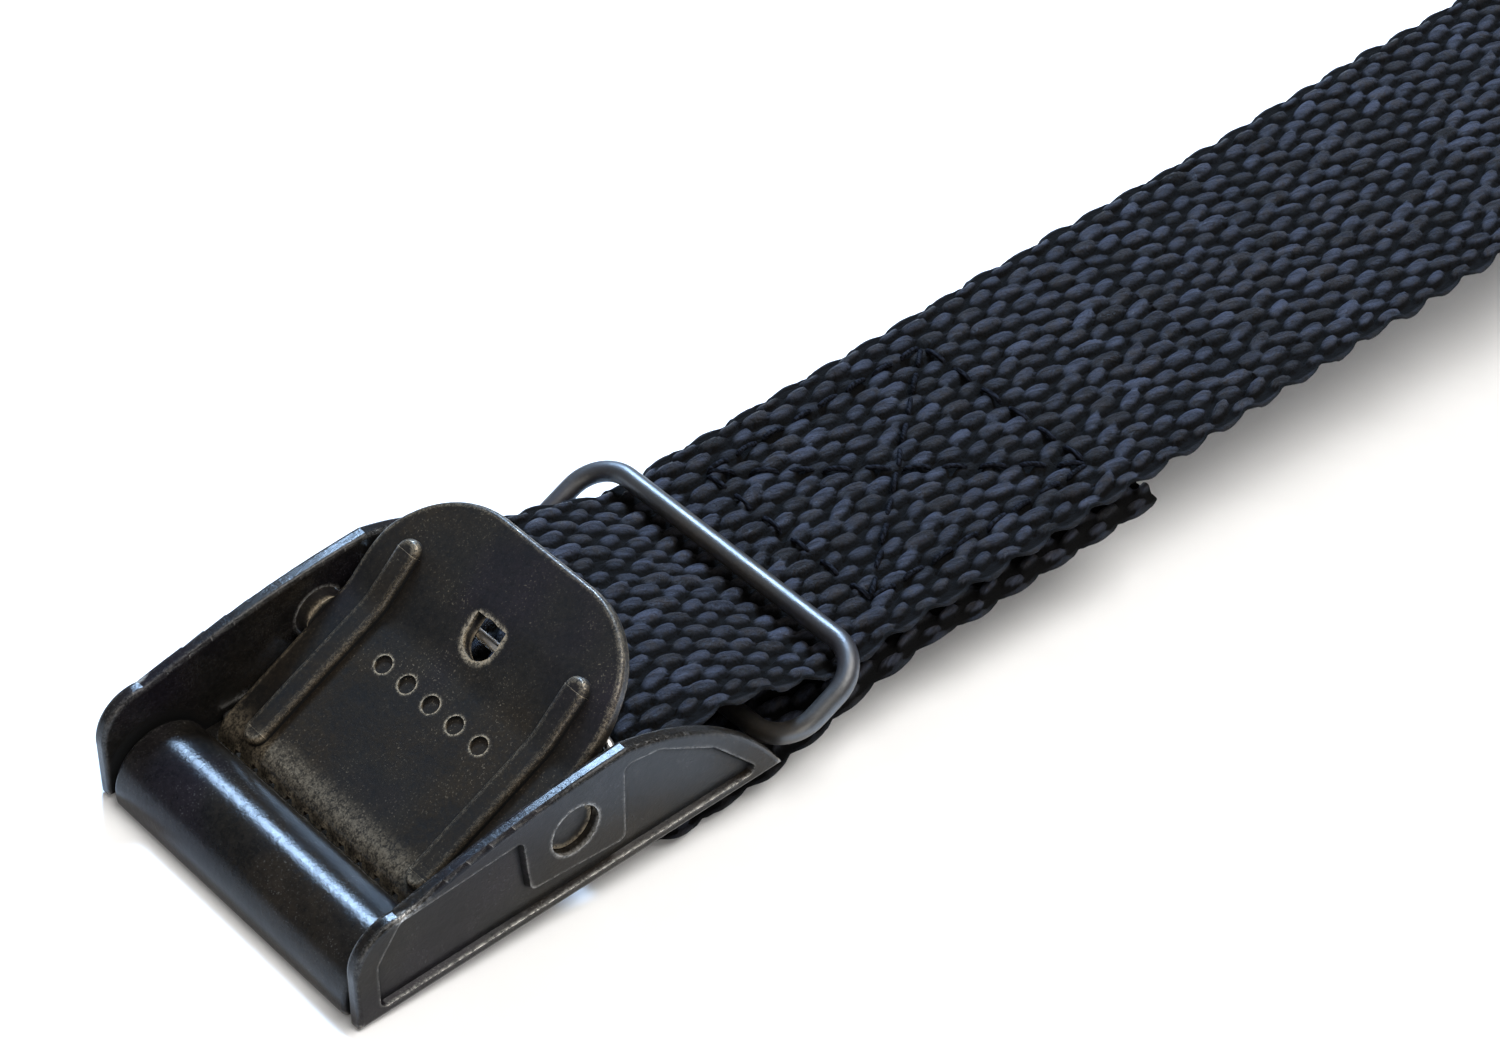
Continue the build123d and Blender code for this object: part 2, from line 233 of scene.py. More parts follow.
def near_edges(tree, inside, reach):
    """How close a point is to a convex edge (inside) or to a hollow corner (outside), 0 to 1."""
    settings = {"inside": inside, "only_local": True, "samples": 12, "Distance": reach}
    return maths(tree, "SUBTRACT", 1.0, node(tree, "AmbientOcclusion", **settings).outputs["AO"])


def near_line(tree, place, spot, radius):
    """How close a place is to a line across the strap through spot (x, z), within radius, in mm."""
    flat = node(tree, "VectorMath", operation="MULTIPLY")
    tree.links.new(place, flat.inputs[0])
    flat.inputs[1].default_value = (1, 0, 1)
    gap = node(tree, "VectorMath", operation="DISTANCE")
    tree.links.new(flat.outputs["Vector"], gap.inputs[0])
    gap.inputs[1].default_value = (spot[0] * MM, 0, spot[1] * MM)
    share = maths(tree, "DIVIDE", gap.outputs["Value"], radius * MM)
    return ramp(tree, share, (0.30, grey(RUB_AND_HIGHLIGHT_STRENGTH)), (1.0, grey(0)), ease="EASE")


def worn_steel(name, dark, light, bare, rough, wear, speckle, reach, shine, rub_and_highlight=None):
    """Blackened steel: fine mottling from dark to light, a faint heat tint, painted shade in hollow
    corners, and bare metal on edges within reach (m), in specks, and in a band ((x, z), radius)
    round a line, partly worn bright and partly a painted highlight."""
    material, tree, shader = new_material(name)
    place = node(tree, "TexCoord").outputs["Object"]
    grain = noise(tree, place, 6500, 3, 0.6)
    fine = noise(tree, place, 2300, 5, 0.7)
    broad = noise(tree, place, 230, 4, 0.6)
    cloud = noise(tree, place, 95, 2)
    tone = mean_of(tree, fine, broad)
    colour = ramp(tree, tone, (0.38, dark), (0.62, light))
    hue = ramp(tree, cloud, (0.36, COOL_TINT), (0.5, grey(1)), (0.64, WARM_TINT))
    colour = blend_colours(tree, 1.0, colour, hue, "MULTIPLY")

    # Rubbed edges, broken up by the mottling, and bare specks away from them
    edge = ramp(tree, near_edges(tree, True, reach), (0.20, grey(0)), (0.52, grey(1)))
    # A band round the toe bend, partly strap wear and partly a painted highlight
    if rub_and_highlight is not None:
        edge = maths(tree, "MAXIMUM", edge, near_line(tree, place, *rub_and_highlight))
    broken = ramp(tree, mean_of(tree, grain, fine), (0.44, grey(0)), (0.56, grey(1)))
    worn = times(tree, edge, plus(tree, 0.12, times(tree, broken, 0.88)))
    specks = ramp(tree, grain, (0.60, grey(0)), (0.70, grey(1)))
    patches = ramp(tree, broad, (0.45, grey(0.03 * speckle)), (0.65, grey(0.2 * speckle)))
    worn = times(tree, plus(tree, worn, times(tree, specks, patches)), wear, clamp=True)

    # Bare wear is kept to faces that look up and dimmed on upright and downward faces: partly wear,
    # partly painted shade on edges that face away from the light above
    normal = node(tree, "NewGeometry").outputs["Normal"]
    facing = node(tree, "SeparateXYZ", {"Vector": normal}).outputs["Z"]
    worn = times(tree, worn, maths(tree, "ADD", facing, SIDE_WEAR_AND_SHADE, clamp=True))
    colour = blend_colours(tree, worn, colour, bare)

    # Painted shade: hollow corners whose faces don't look up are darkened nearly to black
    sheltered = maths(tree, "SUBTRACT", 0.75, facing, clamp=True)
    corner = ramp(tree, near_edges(tree, False, CORNER_SHADE_REACH), (0.10, grey(0)), (0.42, grey(1)))
    painted_shade = times(tree, corner, times(tree, sheltered, 1.4), clamp=True)
    colour = blend_colours(tree, painted_shade, colour, CORNER_SHADE)
    metal = times(tree, worn, maths(tree, "SUBTRACT", 1.0, painted_shade))
    tree.links.new(metal, shader.inputs["Metallic"])

    gloss = ramp(tree, tone, (0.38, grey(rough[1])), (0.62, grey(rough[0])))
    gloss = blend_colours(tree, times(tree, worn, 0.7), gloss, grey(BARE_GLOSS))
    gloss = blend_colours(tree, painted_shade, gloss, grey(CORNER_SHADE_GLOSS))
    height = plus(tree, plus(tree, fine, times(tree, broad, 2.5)), times(tree, grain, 0.4))
    feed(tree, shader, colour, gloss, height, strength=0.5, depth=0.00004)
    shader.inputs["Specular IOR Level"].default_value = shine
    return material


def bright_wire(name):
    """Drawn spring wire: bright steel with fine marks along it."""
    material, tree, shader = new_material(name)
    place = node(tree, "TexCoord").outputs["Object"]
    marks = noise(tree, place, 1500, 3)
    colour = ramp(tree, marks, (0.3, (0.42, 0.40, 0.37)), (0.7, (0.80, 0.78, 0.74)))
    gloss = ramp(tree, marks, (0.3, grey(0.40)), (0.7, grey(0.24)))
    feed(tree, shader, colour, gloss, marks, strength=0.3, depth=0.00002)
    shader.inputs["Metallic"].default_value = 1.0
    return material


def woven(name, deep, crest, warm):
    """Dark polyester webbing. The mesh holds the weave; its attributes give the place on the strap
    (mm), the height in the weave and each crown's own tone, and the nodes add fibres and fuzz and
    turn the height into painted light on the crowns and painted shade in the gaps."""
    material, tree, shader = new_material(name)
    lie = node(tree, "Attribute", attribute_name="lie").outputs["Vector"]
    crown = node(tree, "Attribute", attribute_name="crown").outputs["Fac"]
    own = node(tree, "Attribute", attribute_name="own").outputs["Fac"]
    split = node(tree, "SeparateXYZ", {"Vector": lie})
    slant = plus(tree, times(tree, split.outputs["X"], 0.35), split.outputs["Y"])
    strand = node(tree, "CombineXYZ", {"X": slant, "Y": times(tree, split.outputs["X"], 0.12)})
    strand = strand.outputs["Vector"]
    fibres = noise(tree, strand, 1.7, 4, 0.7)
    fuzz = noise(tree, lie, 5.0, 4, 0.7)
    patch = noise(tree, lie, 0.16, 2)
    hues = noise(tree, lie, 1.3, 3)

    # Painted light on the crowns and painted shade, nearly black, in the gaps, varied by yarn and
    # along each fibre
    line = ramp(tree, fibres, (0.40, grey(0.0)), (0.60, grey(1)))
    lit = ramp(tree, crown, (0.34, grey(0)), (1.0, grey(1)), ease="EASE")
    tone = times(tree, lit, plus(tree, 0.3, times(tree, line, 0.7)))
    tone = times(tree, tone, plus(tree, 0.35, own))
    tone = times(tree, tone, plus(tree, 0.5, patch), clamp=True)
    side = plus(tree, times(tree, own, 0.35), times(tree, hues, 0.65))
    yarn = blend_colours(tree, ramp(tree, side, (0.40, grey(1)), (0.55, grey(0))), crest, warm)
    colour = blend_colours(tree, tone, deep, yarn)

    gloss = ramp(tree, fuzz, (0.35, grey(0.28)), (0.65, grey(0.55)))
    gloss = blend_colours(tree, lit, grey(1.0), gloss)
    height = plus(tree, fibres, times(tree, fuzz, 0.8))
    feed(tree, shader, colour, gloss, height, strength=0.9, depth=0.00040)
    shader.inputs["Specular IOR Level"].default_value = 0.20
    return material


def napped(name, dark, light):
    """Loop-faced band: a dark, fuzzy nap with small lighter tufts."""
    material, tree, shader = new_material(name)
    place = node(tree, "TexCoord").outputs["Object"]
    tuft = node(tree, "TexVoronoi", {"Vector": place}, Scale=2600).outputs["Distance"]
    fuzz = noise(tree, place, 4200, 4, 0.75)
    broad = noise(tree, place, 260, 3)
    tone = times(tree, maths(tree, "SUBTRACT", 1.0, tuft), fuzz)
    tone = times(tree, tone, plus(tree, 0.6, broad))
    colour = ramp(tree, tone, (0.2, dark), (0.6, light))
    gloss = ramp(tree, fuzz, (0.3, grey(0.75)), (0.7, grey(0.95)))
    height = plus(tree, fuzz, times(tree, tuft, -0.8))
    feed(tree, shader, colour, gloss, height, strength=0.9, depth=0.00012)
    shader.inputs["Sheen Weight"].default_value = 0.05
    shader.inputs["Sheen Roughness"].default_value = 0.5
    return material


def thread_fibre(name, deep, light):
    """Bonded sewing thread: dark, with fine slanting plies and a slight gloss."""
    material, tree, shader = new_material(name)
    place = node(tree, "TexCoord").outputs["Object"]
    turn = node(tree, "Mapping", {"Vector": place})
    turn.inputs["Rotation"].default_value = (0.5, 0.4, 0.8)
    turn.inputs["Scale"].default_value = (1.0, 0.25, 1.0)
    plies = noise(tree, turn.outputs["Vector"], 7000, 2)
    colour = ramp(tree, plies, (0.4, deep), (0.6, light))
    gloss = ramp(tree, plies, (0.4, grey(0.85)), (0.6, grey(0.6)))
    feed(tree, shader, colour, gloss, plies, strength=0.7, depth=0.00005)
    shader.inputs["Specular IOR Level"].default_value = 0.05
    return material


# ---------------------------------------------------------------- webbing
WIDTH = 25.0
THICK = 1.5
SEED = 7
FINE_STEP = 0.1

# The weave's lattice (mm): WAVE is one over and one under of a yarn along the strap
YARN_COUNT = 28
YARN_PITCH = WIDTH / YARN_COUNT
WAVE = 4.1
WEFT_LEVEL = 0.06
WEFT_RIPPLE = 0.05

# A crown, where a yarn comes over the weft: its half sizes, its rise, its lean and what varies
CROWN_COUNT = 320
CROWN_LONG, LONG_SPREAD = 1.30, 0.09
CROWN_WIDE = 0.62
CROWN_RISE, RISE_SPREAD = 0.70, 0.06
CROWN_STRAY = (0.10, 0.035)
CROWN_SQUARENESS = 2.6
CROWN_ROUNDING = 0.7
LEAN_ODD, LEAN_EVEN, LEAN_SPREAD = 0.16, -0.10, 0.07
SKEW, SKEW_SPREAD = 0.12, 0.14
EDGE_CROWN_SIZE = 0.85
WEFT_TONE = 0.2
CROWN_TONE, TONE_SPREAD = 0.5, 0.13
# Odd yarns' crowns lighter and even yarns' darker: a painted sheen for their opposite twists
SHEEN_TONE_ODD, SHEEN_TONE_EVEN = 0.07, -0.05

# The strap's edges: where its faces start to fall, and the knobs of weft that scallop them
RIM_REACH = 1.3
RIM_FALL = 0.55
RIM_INSET = 0.52
KNOB_SIZE, KNOB_SPREAD = 0.30, 0.08
KNOB_SHARPNESS = 0.9
KNOB_TALL = 0.16
RIM_BULGE, KNOB_BULGE = 0.24, 0.24
# Crown values for the edge and its knobs: painted shade along the edge, painted light on knob tops
RIM_SHADE, KNOB_SHADE = 0.30, 0.22
RIM_TONE = 0.35

# The way of the strap's mid line, in the buckle's own frame
SEWN_X = (49.0, 57.0, 66.0, 75.0)
SEWN_FRONT, SEWN_REAR = SEWN_X[0], SEWN_X[-1]
UPPER_LEVEL = 2.75
LOWER_LEVEL = 0.95
EYE_LOWER = [(41.0, -0.75), (35.0, -1.85), (28.5, -2.0)]
EYE_FRONT = [(25.0, -0.9), (23.3, 1.6), (25.3, 5.3)]
EYE_UPPER = [(30.0, 6.4), (36.0, 5.4), (44.0, 2.55)]
RUN_END = 147.0
RUN_WAY = [(90.0, 2.85), (106.0, 2.6), (122.0, 2.85), (136.0, 2.7), (RUN_END, UPPER_LEVEL)]
RUN_FLAT = 6.0
RUN_EASING = 60

# Where the strap's length is cut into pieces, how far they overlap, how far the lower layer is
# pushed aside under the bar, and the bend (per mm) at which rings crowd together most
EYE_CUT = 122.0
RUN_CUT = 6.0
LAP_BEFORE, LAP_AFTER = 0.02, 0.12
LOWER_SWAY = 1.1
SWAY_REACH = (8.0, 9.0)
TIGHT_BEND = 0.5


def curve_through(points):
    """A smooth line through points (Catmull-Rom), as points closely spaced along it."""
    points = np.array(points, float)
    padded = np.vstack([2 * points[0] - points[1], points, 2 * points[-1] - points[-2]])
    line = []
    for a, b, c, d in zip(padded, padded[1:], padded[2:], padded[3:]):
        count = max(2, int(np.linalg.norm(c - b) / FINE_STEP))
        t = np.linspace(0, 1, count, endpoint=False)[:, None]
        square, cube = 2 * a - 5 * b + 4 * c - d, 3 * b - a - 3 * c + d
        line.append(0.5 * (2 * b + (c - a) * t + square * t**2 + cube * t**3))
    return np.vstack([*line, points[-1:]])


def distances(line):
    """How far along the line each of its points lies."""
    return np.concatenate([[0], np.cumsum(np.linalg.norm(np.diff(line, axis=0), axis=1))])


def directions(line):
    """The line's unit direction at each of its points."""
    ahead = np.gradient(line, axis=0)
    return ahead / np.linalg.norm(ahead, axis=1)[:, None]


def places_at(line, reach, at):
    """The line's places at distances along it, where its own points lie at reach."""
    return np.stack([np.interp(at, reach, line[:, k]) for k in range(line.shape[1])], axis=1)


def resampled(line, step=FINE_STEP):
    """The same line with its points step apart along it."""
    reach = distances(line)
    return places_at(line, reach, np.linspace(0, reach[-1], int(round(reach[-1] / step)) + 1))


def crowded(line, step, crowd):
    """Points step apart along the line, or crowd times closer in its tight turns, and how far along
    the line each of them lies."""
    reach = distances(line)
    ahead = np.gradient(line, axis=0)
    heading = np.unwrap(np.arctan2(ahead[:, 1], ahead[:, 0]))
    bend = np.abs(np.gradient(heading)) / np.maximum(np.gradient(reach), 1e-6)
    weight = 1 + (crowd - 1) * np.clip(bend / TIGHT_BEND, 0, 1)
    share = np.concatenate([[0], np.cumsum(np.diff(reach) * (weight[1:] + weight[:-1]) / 2)])
    at = np.interp(np.linspace(0, share[-1], int(round(share[-1] / step)) + 1), share, reach)
    return places_at(line, reach, at), at


def smoothed(line, passes):
    """The line with its corners eased by repeated averaging; its ends stay."""
    for _ in range(passes):
        line = np.vstack([line[:1], (line[:-2] + 2 * line[1:-1] + line[2:]) / 4, line[-1:]])
    return line


def front_line():
    """The strap's mid line from the hidden end of the sewn-back layer round the bar to the hank."""
    lower = [(x, LOWER_LEVEL) for x in SEWN_X[::-1]]
    upper = [(x, UPPER_LEVEL) for x in SEWN_X]
    line = seated(curve_through(lower + EYE_LOWER + EYE_FRONT + EYE_UPPER + upper + RUN_WAY))
    level = line[-1] + np.array([RUN_FLAT, 0])
    return smoothed(resampled(np.vstack([line, level])), RUN_EASING)


# The hank: how far its folds stop short of its box's ends, with a stagger, their shape, and the
# nip of the tie
LAYERS = 10
REAR_INSET, REAR_STAGGER = 2.2, 0.9
FRONT_INSET, FRONT_STAGGER = 2.4, 0.8
LAST_INSET = 9.0
FOLD_POINTS = 8
FOLD_BULGE = 0.95
FOLD_EASING = 12
TIE_WIDTH = 12.0
TIE_NIP = 1.1
NIP_REACH = 0.8


def hank_line(start):
    """The mid line of the folded rest: flat layers to and fro, joined by tight round folds at both
    ends and nipped in where the tie goes round them."""
    low, high = (np.array(corner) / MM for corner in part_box("webbing_hank"))
    tie = np.mean([corner[0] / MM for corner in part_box("hank_tie")])
    top = start[1]
    pitch = (top - low[2] - THICK / 2) / (LAYERS - 1)
    line = [start]
    for layer in range(LAYERS - 1):
        height = top - layer * pitch
        if layer % 2 == 0:
            side, turn = 1, high[0] - REAR_INSET - REAR_STAGGER * (layer * 5 % 3)
        else:
            side, turn = -1, low[0] + FRONT_INSET + FRONT_STAGGER * (layer * 7 % 3)
        line.append((turn, height))
        for step in range(1, FOLD_POINTS):
            angle = math.pi * step / FOLD_POINTS
            out = side * pitch * FOLD_BULGE * math.sin(angle)
            line.append((turn + out, height - pitch / 2 * (1 - math.cos(angle))))
        line.append((turn, height - pitch))
    line.append((low[0] + LAST_INSET, top - (LAYERS - 1) * pitch))
    line = smoothed(resampled(np.array(line)), FOLD_EASING)
    middle = (top + THICK / 2) / 2
    from_tie = np.abs(line[:, 0] - tie) / (NIP_REACH * TIE_WIDTH)
    nip = TIE_NIP / (middle - THICK / 2) * np.exp(-(from_tie**4))
    line[:, 1] = middle + (line[:, 1] - middle) * (1 - nip)
    return line


def weave(along, across, flip):
    """The height of the webbing's face above its mid plane, and each point's own tone, with odd
    yarns' crowns lighter than even ones as a painted sheen. Yarns along the strap cross over and
    under the weft in turn; each crossing is a plump crown, rolled a little by its yarn's twist, and
    between crowns the face falls to the weft, which the material darkens as painted shade."""
    rng = np.random.default_rng(SEED + flip)
    chance = rng.normal(0, 1, (YARN_COUNT, CROWN_COUNT, 4))
    shape = np.broadcast(along, across).shape
    along, across = np.broadcast_to(along, shape), np.broadcast_to(across, shape)
    face = np.full(shape, WEFT_LEVEL) + WEFT_RIPPLE * np.cos(4 * math.pi * along / WAVE)
    own = np.full(shape, WEFT_TONE)
    column = np.clip(np.floor((across + WIDTH / 2) / YARN_PITCH), 0, YARN_COUNT - 1).astype(int)
    for beside in (-1, 0, 1):
        yarn = np.clip(column + beside, 0, YARN_COUNT - 1)
        odd = (yarn + flip) % 2
        crown = np.round(along / WAVE - odd / 2)
        index = np.clip(crown, 0, CROWN_COUNT - 1).astype(int)
        move_s, move_t, rise, tone = np.moveaxis(chance[yarn, index], -1, 0)
        ds = along - (crown + odd / 2) * WAVE - CROWN_STRAY[0] * move_s
        dt = across - ((yarn + 0.5) * YARN_PITCH - WIDTH / 2) - CROWN_STRAY[1] * move_t
        lean = np.where(odd == 1, LEAN_ODD, LEAN_EVEN) + LEAN_SPREAD * move_s
        size = np.where((yarn < 2) | (yarn > YARN_COUNT - 3), EDGE_CROWN_SIZE, 1.0)
        long = CROWN_LONG * size * (1 + LONG_SPREAD * np.clip(rise, -2, 2))
        u = (ds + (SKEW + SKEW_SPREAD * move_t) * dt) / long
        v = (dt - lean * ds) / (CROWN_WIDE * size)
        dome = np.sqrt(np.clip(1 - np.abs(u) ** CROWN_SQUARENESS - v**2, 0, 1))
        height = WEFT_LEVEL + (CROWN_RISE + RISE_SPREAD * rise) * dome**CROWN_ROUNDING
        # Random tone per crown, plus a painted sheen lightening odd yarns and darkening even ones
        tone = CROWN_TONE + TONE_SPREAD * tone + np.where(odd == 1, SHEEN_TONE_ODD, SHEEN_TONE_EVEN)
        own = np.where(height > face, np.clip(tone, 0, 1), own)
        face = np.maximum(face, height)
    return face, own


def ribbon(name, line, start, step, crowd, per_yarn, rounds, sway=None, press=None):
    """A length of webbing on a mid line (x, z) in mm: a closed mesh with woven faces and scalloped
    edges. start is how far along the whole strap it begins, so that lengths in a row share one
    weave. step and crowd space its rings, per_yarn and rounds its points across a yarn and round
    an edge. sway moves it sideways, and press sinks its faces under a seam."""
    centre, reach = crowded(line, step, crowd)
    count = len(centre)
    along = start + reach
    ahead = directions(centre)
    normal = np.stack([-ahead[:, 1], ahead[:, 0]], axis=1)
    columns = YARN_COUNT * per_yarn
    across = (np.arange(columns + 1) / columns - 0.5) * WIDTH
    s, t = along[:, None], across[None, :]
    (top, top_own), (bottom, bottom_own) = (weave(s, t, flip) for flip in (0, 1))
    if press is not None:
        top, bottom = top - press(s, t, True), bottom - press(s, t, False)
    near_rim = np.clip((np.abs(across) - (WIDTH / 2 - RIM_REACH)) / RIM_REACH, 0, 1)[None, :]
    rng = np.random.default_rng(SEED + 5)
    rims, knobs = [], []
    for shift in (0.0, 0.5):
        at = along / WAVE + shift
        knob = np.abs(np.cos(math.pi * at)) ** KNOB_SHARPNESS
        chance = rng.normal(0, 1, CROWN_COUNT)[np.round(at).astype(int) % CROWN_COUNT]
        rims.append(WIDTH / 2 - RIM_INSET + (KNOB_SIZE + KNOB_SPREAD * chance) * knob)
        knobs.append(knob)
    stretch = np.where(across[None, :] > 0, rims[0][:, None], rims[1][:, None]) / (WIDTH / 2)
    side = across[None, :] * (1 + (stretch - 1) * near_rim)
    upper = top * (1 - RIM_FALL * near_rim**2)
    lower = -bottom * (1 - RIM_FALL * near_rim**2)

    # Each ring runs across the top, round one edge, back across the bottom and round the other edge
    half = columns + 1
    turn = math.pi * (np.arange(1, rounds + 1) / (rounds + 1) - 0.5)
    y, h, lie, shade, own = [side], [upper], [np.broadcast_to(t, side.shape)], [top], [top_own]
    for sign, which in ((1, 0), (-1, 1)):
        edge = slice(-1, None) if sign > 0 else slice(0, 1)
        middle = (upper[:, edge] + lower[:, edge]) / 2
        tall = (upper[:, edge] - lower[:, edge]) / 2 + KNOB_TALL * knobs[which][:, None]
        angle = -turn if sign > 0 else turn
        bulge = RIM_BULGE + KNOB_BULGE * knobs[which][:, None]
        out = rims[which][:, None] + bulge * np.cos(angle)[None, :]
        y.append(sign * out)
        h.append(middle + tall * np.sin(angle)[None, :])
        lie.append(sign * (WIDTH / 2 + 0.5 * np.cos(angle)[None, :] + 0 * out))
        shade.append((RIM_SHADE + KNOB_SHADE * knobs[which])[:, None] + 0 * out)
        own.append(RIM_TONE + 0 * out)
        if sign > 0:
            flats = (side, lower, lie[0], bottom, bottom_own)
            for store, flat in zip((y, h, lie, shade, own), flats):
                store.append(flat[:, ::-1])
    y, h, lie, shade, own = (np.hstack(part) for part in (y, h, lie, shade, own))
    ring = y.shape[1]
    drift = np.zeros(count) if sway is None else sway(along)
    points = np.empty((count, ring, 3))
    points[:, :, 0] = centre[:, :1] + normal[:, :1] * h
    points[:, :, 1] = y + drift[:, None]
    points[:, :, 2] = centre[:, 1:] + normal[:, 1:] * h
    number = np.arange(count * ring).reshape(count, ring)
    beside = np.roll(number, -1, axis=1)
    quads = np.stack([number[:-1], number[1:], beside[1:], beside[:-1]], axis=2).reshape(-1, 4)
    polygons = quads.tolist()
    for last, row in ((False, number[0].tolist()), (True, number[-1].tolist())):
        under = row[half + rounds : 2 * half + rounds][::-1]
        cap = [(row[k], row[k + 1], under[k + 1], under[k]) for k in range(half - 1)]
        cap.append((row[half - 1], *row[half : half + rounds], under[-1]))
        cap.append((under[0], *row[2 * half + rounds :], row[0]))
        polygons += [face[::-1] if last else face for face in cap]
    mesh = bpy.data.meshes.new(name)
    mesh.from_pydata((points.reshape(-1, 3) * MM).tolist(), [], polygons)
    where = np.stack([np.broadcast_to(along[:, None], y.shape), lie, np.zeros(y.shape)], axis=2)
    # Crown value from height: the material paints light on crowns and shade in gaps from it
    shade = np.clip((shade - WEFT_LEVEL) / CROWN_RISE, 0, 1)
    lie_at = mesh.attributes.new("lie", "FLOAT_VECTOR", "POINT")
    lie_at.data.foreach_set("vector", where.astype(np.float32).ravel())
    for label, values in (("crown", shade), ("own", own)):
        held = mesh.attributes.new(label, "FLOAT", "POINT")
        held.data.foreach_set("value", values.astype(np.float32).ravel())
    mesh.shade_smooth()
    # Sharp round the cut ends, so that the faces' shading runs on from one length to the next
    ends = np.array([edge.vertices[:] for edge in mesh.edges])
    cut = (ends.max(1) < ring) | (ends.min(1) >= (count - 1) * ring)
    mesh.attributes.new("sharp_edge", "BOOLEAN", "EDGE").data.foreach_set("value", cut)
    mesh.update()
    made = bpy.data.objects.new(name, mesh)
    bpy.context.collection.objects.link(made)
    return made, along[-1] - along[0]


# The box stitch in the buckle's own frame, each stitch's arch, and how its seams sink the webbing
STITCH_FRONT = 50.0
STITCH_REAR = 72.0
STITCH_HALF = 9.0
STITCH_PITCH = 2.75
STITCH_SHARE = 0.40
STITCH_POINTS = 9
STITCH_LIFT = 0.46
STITCH_ARCH = 0.16
STITCH_DIP = 0.30
STITCH_STRAY = 0.04
STITCH_TURN = 0.05
THREAD_R = 0.2
SEAM_DEPTH = 0.20
SEAM_REACH = 0.75
SEAM_LEAD = 2


def seam_lines():
    """The box stitch's seams in the buckle's own frame: pairs of corners (x, y)."""
    corners = [
        (STITCH_FRONT, -STITCH_HALF),
        (STITCH_REAR, -STITCH_HALF),
        (STITCH_REAR, STITCH_HALF),
        (STITCH_FRONT, STITCH_HALF),
    ]
    cross = [(corners[0], corners[2]), (corners[1], corners[3])]
    return [*zip(corners, corners[1:] + corners[:1]), *cross]


def seam_distance(x, y):
    """How far points (x, y) lie from the nearest seam."""
    nearest = np.full(np.broadcast(x, y).shape, 99.0)
    for start, end in seam_lines():
        run = np.subtract(end, start)
        share = np.clip(((x - start[0]) * run[0] + (y - start[1]) * run[1]) / (run @ run), 0, 1)
        off = np.hypot(x - start[0] - share * run[0], y - start[1] - share * run[1])
        nearest = np.minimum(nearest, off)
    return nearest


def make_webbing(material):
    """The whole strap as lengths in a row: sewn eye, run with the hank's top layer, folds below."""
    front = front_line()
    line = np.vstack([front, hank_line(front[-1])[1:]])
    reach = distances(line)
    front_end = reach[len(front) - 1]
    under_bar = reach[: len(front)][front[:, 1].argmin()]
    first_upper = front_end - RUN_FLAT - (RUN_END - SEWN_FRONT)

    def sway(along):
        """How far the strap lies aside, from its lower end to where it goes under the bar."""
        share = np.clip((under_bar + SWAY_REACH[1] - along) / SWAY_REACH[0], 0, 1)
        return -LOWER_SWAY * share * share * (3 - 2 * share)

    def press(along, across, top):
        """How far the seams sink the top or bottom face."""
        upper = along > first_upper - SEAM_LEAD
        x = np.where(upper, along - first_upper + SEWN_FRONT, SEWN_REAR - along)
        on_face = np.where(upper, top, not top)
        return SEAM_DEPTH * np.exp(-((seam_distance(x, across) / SEAM_REACH) ** 2)) * on_face

    low, high = (corner[0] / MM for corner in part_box("webbing_hank"))
    cuts = [0.0, EYE_CUT, front_end + (high - low) - RUN_CUT, reach[-1]]
    # Name, CAD node, what it rests on, then the mesh's step, crowd, per_yarn and rounds
    lengths = [
        ("strap_eye", "webbing_eye", ["buckle_body"], (WAVE / 11, 1, 4, 5)),
        ("strap_run", "webbing_run", ["strap_folds"], (WAVE / 11, 1, 4, 5)),
        ("strap_folds", "webbing_hank", [], (WAVE / 3.5, 3, 2, 3)),
    ]
    for (name, cad, rests, detail), begin, finish in zip(lengths, cuts, cuts[1:]):
        part = line[(reach >= begin - LAP_BEFORE) & (reach <= finish + LAP_AFTER)]
        sewn = (sway, press) if name == "strap_eye" else ()
        piece, length = ribbon(name, part, begin, *detail, *sewn)
        piece.data.materials.append(material)
        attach(piece, "buckle")
        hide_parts(cad)
        print(name, "length", round(length, 1), "mm, faces", len(piece.data.polygons))


# A direction that no tube runs along
TUBE_UP = [0.13, 0.21, 1.0]


def tube_mesh(lines, radius, sides):
    """Vertices and faces of round tubes with closed, rounded ends along lines of points, in mm."""
    points, faces = [], []
    for line in lines:
        line = np.array(line, float)
        ahead = directions(line)
        aside = np.cross(ahead, TUBE_UP)
        aside /= np.linalg.norm(aside, axis=1)[:, None]
        above = np.cross(aside, ahead)
        reach = np.linalg.norm(line - line[0], axis=1)
        back = np.linalg.norm(line - line[-1], axis=1)
        near_end = np.minimum(np.minimum(reach, back) / radius, 1)
        size = radius * np.sqrt(np.clip(1 - (1 - near_end) ** 2, 0.03, 1))
        base = len(points)
        for centre, right, up, r in zip(line, aside, above, size):
            for k in range(sides):
                angle = 2 * math.pi * k / sides
                points.append(centre + r * (math.cos(angle) * right + math.sin(angle) * up))
        for row in range(len(line) - 1):
            for k in range(sides):
                a, b = base + row * sides + k, base + row * sides + (k + 1) % sides
                faces.append((a, b, b + sides, a + sides))
        faces.append(tuple(base + k for k in range(sides))[::-1])
        faces.append(tuple(base + (len(line) - 1) * sides + k for k in range(sides)))
    return points, faces


def mesh_piece(name, points, faces, material, body):
    """A smooth mesh object from points in mm, with its material and slot, on a body if named."""
    mesh = bpy.data.meshes.new(name)
    mesh.from_pydata([[float(c) * MM for c in point] for point in points], [], faces)
    mesh.shade_smooth()
    mesh.materials.append(material)
    mesh.update()
    piece = bpy.data.objects.new(name, mesh)
    bpy.context.collection.objects.link(piece)
    if body is not None:
        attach(piece, body)
    return piece


